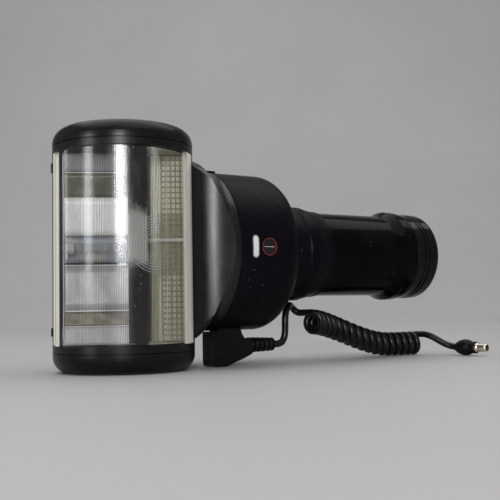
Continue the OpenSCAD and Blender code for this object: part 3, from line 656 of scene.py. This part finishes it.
def make_wall(name, w):
    """Side wall of the reflector, cut to the lens, with a round hole where the tube goes through."""
    reach = math.sqrt(INNER_R ** 2 - w ** 2)
    top = WALL_EDGE + [(min(WALL_TOP[0], reach - 0.1), WALL_TOP[1]), (reach, WALL_TOP[1])]
    outline = [Vector((d, dz, 0)) for d, dz in top] + [Vector((d, -dz, 0)) for d, dz in reversed(top)]
    turns = [-2 * math.pi * k / HOLE_SIDES for k in range(HOLE_SIDES)]
    hole = [Vector((TUBE_D + TUBE_HOLE_R * math.cos(a), TUBE_HOLE_R * math.sin(a), 0)) for a in turns]
    points = outline + hole
    count = len(points)
    verts = [in_head(w + side, p.x, MID_Z + p.y) for side in (0.0, WALL_T) for p in points]
    triangles = tessellate_polygon([outline, hole])
    faces = [tuple(t) for t in triangles] + [tuple(count + i for i in reversed(t)) for t in triangles]
    faces += edge_faces(list(range(len(outline))), count)
    faces += edge_faces(list(range(len(outline), count)), count)
    mesh_piece("mirror_wall_" + name, verts, faces, "head", "reflector_bright",
               mirror_sheet("mirror_wall_" + name, (0.42, 0.42, 0.42), (0.30, 0.30, 0.31)), smooth=False)


def make_reflector():
    """Folded sheet of seven facets, each with a painted reflection as its tone, its folds painted bright as
    glints, and two side walls.
    """
    first = [make_facet(*facet) for facet in FACETS][0]
    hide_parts("reflector")
    for i, (d, dz, radius) in enumerate(FOLDS):
        name = "mirror_fold_%d" % (i + 1)
        reach = min(half_width(d) - FOLD_GAP, -WALL_W[0])
        line = [in_head(w, d, MID_Z + dz) for w in steps(-reach, WALL_W[1] - WALL_T, FOLD_STEPS)]
        tube(name, line, radius * MM, FOLD_SIDES, "head", "reflector_bright",
             mirror_sheet(name, (0.9, 0.9, 0.88), (0.7, 0.7, 0.68), 0.25))
    make_wall("left", WALL_W[0] + 0.2)
    make_wall("right", WALL_W[1] - WALL_T)


# The cream panel's details, in millimetres: d forwards and w to the right, as in in_head.
PANEL_D, PANEL_LOW, PANEL_HIGH = 9.0, LENS_LOW + 1.4, LENS_HIGH - 1.4
GRID_W = [16.6 + 2.05 * k for k in range(6)]
GRID_STEP_Z, GRID_BAR, UPRIGHT_H, LEVEL_H = 2.4, 0.7, 0.6, 0.5
PANEL_RIBS = [
    # name, places, width, height, colour; one cream plastic, painted shaded on the first ribs and with
    # painted glints on the last
    ("panel_ribs_shaded", (10.0, 11.1), 1.0, 0.8, (0.07, 0.063, 0.04)),
    ("panel_ribs", (12.2, 13.3, 14.4), 1.0, 0.8, (0.48, 0.45, 0.31)),
    ("panel_rib_glint", (15.6, 18.65), 0.6, 1.2, (0.95, 0.93, 0.82)),
]
BAR_W, BAR_D, BAR_Z, BAR_R, BAR_STEPS, BAR_SIDES = (9.4, 26.8), PANEL_D + 0.9, 56.8, 0.95, 12, 10
LEDGE_W, LEDGE_D, LEDGE_T, LEDGE_COLUMNS, LEDGE_ROWS = (10.0, 26.4), PANEL_D + 0.3, 0.4, 16, 8
LEDGES = (("panel_ledge_top", LENS_HIGH - 0.9), ("panel_ledge_bottom", LENS_LOW + 0.5))


def roof_bars(name, bars, material):
    """Bars with a roof-shaped section on the panel: each is (w0, z0, w1, z1, width, height)."""
    verts, faces = [], []
    for w0, z0, w1, z1, width, height in bars:
        along = Vector((w1 - w0, z1 - z0)).normalized()
        side = Vector((-along.y, along.x)) * width / 2
        base = len(verts)
        for w, z in ((w0, z0), (w1, z1)):
            for s, up in ((-1, 0.0), (-0.3, height), (0.3, height), (1, 0.0)):
                verts.append(in_head(w + side.x * s, PANEL_D + up, z + side.y * s))
        for face in ((0, 1, 5, 4), (1, 2, 6, 5), (2, 3, 7, 6), (3, 0, 4, 7), (3, 2, 1, 0), (4, 5, 6, 7)):
            faces.append(tuple(base + i for i in face))
    mesh_piece(name, verts, faces, "head", "cream_plastic", material, smooth=False)


def ledge_grid(z):
    """Points of a level shelf at one height, from the panel out to the lens."""
    across = steps(*LEDGE_W, LEDGE_COLUMNS)
    lines = [steps(LEDGE_D, math.sqrt(INNER_R ** 2 - w ** 2), LEDGE_ROWS) for w in across]
    return [[in_head(w, line[r], z) for w, line in zip(across, lines)] for r in range(LEDGE_ROWS + 1)]


def make_panel_detail():
    """The waffle, its bars painted in shade, the upright ribs, the two ledges and the bar of the cream
    panel, painted bright as a reflection.
    """
    upright = [(w, PANEL_LOW, w, PANEL_HIGH, GRID_BAR, UPRIGHT_H) for w in GRID_W]
    rows = int((PANEL_HIGH - PANEL_LOW) / GRID_STEP_Z) + 1
    heights = [PANEL_LOW + GRID_STEP_Z * k for k in range(rows)]
    level = [(GRID_W[0], z, GRID_W[-1], z, GRID_BAR, LEVEL_H) for z in heights]
    # Painted shade: the waffle's bars are drawn olive, darker than the cream between them.
    roof_bars("panel_waffle", upright + level, trim("waffle_shaded", (0.38, 0.35, 0.225), 0.35))
    for name, places, width, height, color in PANEL_RIBS:
        roof_bars(name, [(w, PANEL_LOW, w, PANEL_HIGH, width, height) for w in places], trim(name, color))
    cream = trim("ledge_cream", (0.50, 0.47, 0.35), 0.35)
    for name, z in LEDGES:
        sheet(name, ledge_grid(z + LEDGE_T), ledge_grid(z), "cream_plastic", cream, smooth=False)
    # Painted reflection: the bar across the panel is drawn near-white.
    bar = [in_head(w, BAR_D, BAR_Z) for w in steps(*BAR_W, BAR_STEPS)]
    tube("panel_bar", bar, BAR_R * MM, BAR_SIDES, "head", "cream_plastic",
         trim("bar_reflection", (0.90, 0.89, 0.82)))


# Two tall sheets near the lens, with the radii or depths of their fronts and backs.
DIVIDER_ANGLES, DIVIDER_RADII, DIVIDER_COLUMNS, DIVIDER_GAP = (3.8, 20.2), (28.75, 28.35), 24, 1.2
STRIP_W, STRIP_WIDTH, STRIP_DEPTHS, STRIP_FALL = 25.0, 2.6, (8.6, 8.0), 1.6
STRIP_COLUMNS, STRIP_GAP = 4, 0.8
END_BAND = 0.4


def upright_sheet(name, row, sides, gap, slot, material):
    """A tall sheet: row(side, z) gives its points at one height, for its front and its back."""
    low, high = LENS_LOW + gap, LENS_HIGH - gap
    heights = (low, low + END_BAND, high - END_BAND, high)
    front, back = ([row(side, z) for z in heights] for side in sides)
    sheet(name, front, back, slot, material)


def make_divider_face():
    """Glossy flange on the front edge of the divider."""
    def row(radius, z):
        return [on_lens(radius, a, z) for a in steps(*DIVIDER_ANGLES, DIVIDER_COLUMNS)]

    upright_sheet("divider_face", row, DIVIDER_RADII, DIVIDER_GAP, "head_plastic",
                  divider_gloss("divider_gloss"))


def make_edge_strip():
    """Flange along the right edge of the lens, in front of the panel's end, painted near-white for light
    piped along the lens's edge.
    """
    def row(depth, z):
        return [in_head(STRIP_W + STRIP_WIDTH * t, depth - STRIP_FALL * t ** 2, z)
                for t in steps(0.0, 1.0, STRIP_COLUMNS)]

    upright_sheet("lens_edge_strip", row, STRIP_DEPTHS, STRIP_GAP, "lens_clear",
                  trim("edge_piped_light", (1.0, 0.98, 0.88)))


# The round prisms: their centre as an angle and a height on the lens, and their radii.
PRISM_ANGLE, PRISM_Z = 27.6, 53.9
PRISM_RINGS = (4.9, 6.0, 7.2, 8.4, 9.5, 10.7, 11.9)
PRISM_DEPTH, PRISM_R, PRISM_STEPS, PRISM_SIDES = 28.8, 0.14, 60, 6
PRISM_START, PRISM_END, PRISM_SHORTER = 75, 330, 4  # degrees, each ring ending a little sooner
PAD_FRONT, PAD_BACK, PAD_R, PAD_RINGS, PAD_SIDES = 28.75, 28.6, 12.3, 8, 72
PAD_MIDDLE = 0.02  # a tiny hole, so that no face of the pad has a width of nothing


def make_round_prisms():
    """Open ring prisms on the inside of the lens, round one centre, on a thin round pad."""
    def spot(radius, angle, depth):
        around = math.degrees(radius * math.cos(angle) / PRISM_DEPTH)
        return on_lens(depth, PRISM_ANGLE + around, PRISM_Z + radius * math.sin(angle))

    def disc(depth):
        radii = [PAD_R * (r + PAD_MIDDLE) / PAD_RINGS for r in range(PAD_RINGS + 1)]
        return [[spot(radius, a, depth) for a in steps(0.0, 2 * math.pi, PAD_SIDES)] for radius in radii]

    # Painted highlight: the ring prisms are drawn near-white for the light they catch.
    bright = prism_plastic("ring_prism", (0.97, 0.97, 0.94), 0.6)
    for i, radius in enumerate(PRISM_RINGS):
        turn = steps(math.radians(PRISM_START), math.radians(PRISM_END - PRISM_SHORTER * i), PRISM_STEPS)
        path = [spot(radius, a, PRISM_DEPTH) for a in turn]
        tube("lens_ring_%d" % (i + 1), path, PRISM_R * MM, PRISM_SIDES, "head", "lens_clear", bright)
    sheet("lens_pad", disc(PAD_FRONT), disc(PAD_BACK), "lens_clear",
          prism_plastic("pad_prism", (0.85, 0.85, 0.83), 0.04))


# The button's line: its back, half its length, half its height and its thickness.
MARK_Y, MARK_REACH, MARK_HALF, MARK_T = -36.72, 2.7, 0.12, 0.14


def make_button_mark():
    """A thin pale line in the groove across the test button."""
    section = ((-MARK_HALF, 0.0), (MARK_HALF, 0.0), (MARK_HALF, MARK_T), (-MARK_HALF, MARK_T))
    verts = [Vector((BUTTON_X + side * MARK_REACH, MARK_Y - out, MID_Z + up)) * MM
             for side in (-1, 1) for up, out in section]
    faces = [(0, 1, 2, 3), (7, 6, 5, 4)] + [(k, k + 4, (k + 1) % 4 + 4, (k + 1) % 4) for k in range(4)]
    mesh_piece("button_mark", verts, faces, "button", "window_plastic",
               trim("mark_grey", (0.42, 0.42, 0.42), 0.4), smooth=False)


make_lens()
make_reflector()
make_panel_detail()
make_divider_face()
make_round_prisms()
make_edge_strip()
make_button_mark()


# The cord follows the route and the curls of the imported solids, in millimetres.
CORD = 3.4
CORD_D = CORD * MM
CURL_R, CURL_PITCH, CURLS = 4.7, 4.5, 17
CURL_Z = CURL_R + CORD / 2
CURL_TOP = CURL_Z + CURL_R
LIFT, LIFT_L = 13.0, 58.0
BEND_R, BEND_A = 50.0, math.radians(30)
COIL_X, COIL_Y = 124.0, 2.0
BEND_L = BEND_R * BEND_A
COIL_X1 = COIL_X + CURLS * CURL_PITCH - BEND_L
TURN_STEPS, SPAN_STEPS, CORD_SIDES = 20, 4, 14
LEAD = [
    (75.3, -4, 9.3), (78.7, -4, 9.3), (81.2, -4, 10.2), (82.7, -4, 12.6), (83.2, -4, 16), (83.3, -4, 20),
    (84, -3.6, 24), (86.2, -2, 26.9), (89.4, 0.6, 27.9), (92.4, 2.6, 26.6), (94.3, 2.6, 24.9),
]
# The tail's points start from the end of the curls, at COIL_X1.
TAIL = [
    (0, COIL_Y - CORD, CURL_TOP), (0, COIL_Y - 2 * CORD, CURL_TOP), (0.6, -8, 10.4), (2, -10.9, 8.9),
    (3.9, -13.4, 7), (5.8, -15.9, 5.4), (6.9, -18.7, 4.6), (7.1, -21.6, 4.3),
]


def curl_point(t):
    """The cord's middle after t turns: a coil that bends first and sinks to the floor."""
    s = t * CURL_PITCH
    a = BEND_A * (1 - s / BEND_L) if s < BEND_L else 0.0
    x = COIL_X - BEND_R * math.sin(a) if s < BEND_L else COIL_X + s - BEND_L
    y = COIL_Y - BEND_R + BEND_R * math.cos(a)
    z = CURL_Z + (LIFT * (1 + math.cos(math.pi * s / LIFT_L)) / 2 if s < LIFT_L else 0.0)
    w = math.radians(90 + 360 * t)
    side, up = CURL_R * math.cos(w), CURL_R * math.sin(w)
    return Vector((x - side * math.sin(a), y + side * math.cos(a), z + up))


def cord_path():
    """The cord's middle line, in metres: the lead, the curls and the tail."""
    start = curl_point(0)
    go = Vector((math.sin(BEND_A), -math.cos(BEND_A), 0))
    lead = smooth_path(LEAD + [start - 2 * CORD * go, start - CORD * go, start], SPAN_STEPS)[:-1]
    curl = [curl_point(i / TURN_STEPS) for i in range(CURLS * TURN_STEPS + 1)]
    tail = smooth_path([curl[-1]] + [Vector((COIL_X1 + x, y, z)) for x, y, z in TAIL], SPAN_STEPS)[1:]
    return [p * MM for p in lead + curl + tail]


path = cord_path()
length = sum((b - a).length for a, b in zip(path, path[1:]))
cord = tube("sync_cord", path, CORD_D / 2, CORD_SIDES, "housing", "cord_rubber")
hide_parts("cord_lead", "cord_coil", "cord_tail")


# The floor, lamps and world, in metres and watts.
FLOOR_HALF, FLOOR_NEAR, SWEEP_AT, SWEEP_R, SWEEP_TOP = 4.0, -3.0, 0.9, 1.2, 4.0
SWEEP_STEPS = 16
FLOOR_DROP = 0.00005  # keeps the floor clear of what stands on it
KEY_ANGLE, KEY_FAR, KEY_HEIGHT = math.radians(-119), 1.1, 0.31
KEY_PLACE = Vector((math.cos(KEY_ANGLE), math.sin(KEY_ANGLE), 0)) * KEY_FAR + Vector((0, 0, KEY_HEIGHT))
LAMPS = [
    # name, place, point that it faces, size, power
    ("key", KEY_PLACE, (0, 0, 0.05), (0.16, 0.36), 7.0),
    ("top", (0.2, 0.1, 2.0), (0.1, 0.0, 0.0), (3.0, 3.0), 39.0),
    ("strip", (-1.744, -0.318, 0.35), (0.029, -0.03, 0.055), (0.064, 0.5), 10.5),
]
WORLD_LIGHT, WORLD_STRENGTH = rgba(0.9, 0.93, 1.0), 0.12
WORLD_SEEN = rgba(0.36, 0.352, 0.346)


def make_floor():
    """A pale sweep: flat under the object and round it, and rising far behind it."""
    profile = [(FLOOR_NEAR, 0.0), (SWEEP_AT, 0.0)]
    for i in range(1, SWEEP_STEPS + 1):
        a = math.radians(90 * i / SWEEP_STEPS)
        profile.append((SWEEP_AT + SWEEP_R * math.sin(a), SWEEP_R - SWEEP_R * math.cos(a)))
    profile.append((SWEEP_AT + SWEEP_R, SWEEP_TOP))
    verts = [VIEW_AWAY * d + VIEW_RIGHT * s + Vector((0, 0, z - FLOOR_DROP))
             for d, z in profile for s in (-FLOOR_HALF, FLOOR_HALF)]
    faces = [(2 * i, 2 * i + 1, 2 * i + 3, 2 * i + 2) for i in range(len(profile) - 1)]
    obj = new_mesh("floor", verts, faces, smooth=True)
    dress(obj, floor_paper("floor_paper"))
    return obj


def make_lamp(name, place, aim, size, power):
    """A rectangular lamp at a place, facing a point."""
    data = bpy.data.lights.new(name, "AREA")
    data.shape = "RECTANGLE"
    data.size, data.size_y = size
    data.energy = power
    obj = link(bpy.data.objects.new(name, data))
    obj.location = place
    obj.rotation_euler = (Vector(aim) - Vector(place)).to_track_quat("-Z", "Y").to_euler()
    return obj


def keep_off(lamp, obj):
    """Stop a lamp from lighting one object."""
    unlit = bpy.data.collections.new(obj.name + "_unlit_by_" + lamp.name)
    unlit.objects.link(obj)
    lamp.light_linking.receiver_collection = unlit
    unlit.collection_objects[0].light_linking.link_state = "EXCLUDE"


def make_world():
    """A dim even light, and a pale backdrop for the camera's rays and those of gloss and glass."""
    world = bpy.data.worlds.new("world")
    bpy.context.scene.world = world
    n = Nodes(world, "ShaderNodeOutputWorld")
    light = n.add("ShaderNodeBackground", {"Color": WORLD_LIGHT, "Strength": WORLD_STRENGTH})
    backdrop = n.add("ShaderNodeBackground", {"Color": WORLD_SEEN})
    rays = n.node("ShaderNodeLightPath").outputs
    seen = n.math("MAXIMUM", rays["Is Camera Ray"], rays["Is Glossy Ray"])
    seen = n.math("MAXIMUM", seen, rays["Is Transmission Ray"])
    n.finish(n.blend(seen, light, backdrop))


floor = make_floor()
lamps = {lamp[0]: make_lamp(*lamp) for lamp in LAMPS}
# The strip makes upright gleams on the object: the floor near it would turn white.
keep_off(lamps["strip"], floor)
make_world()
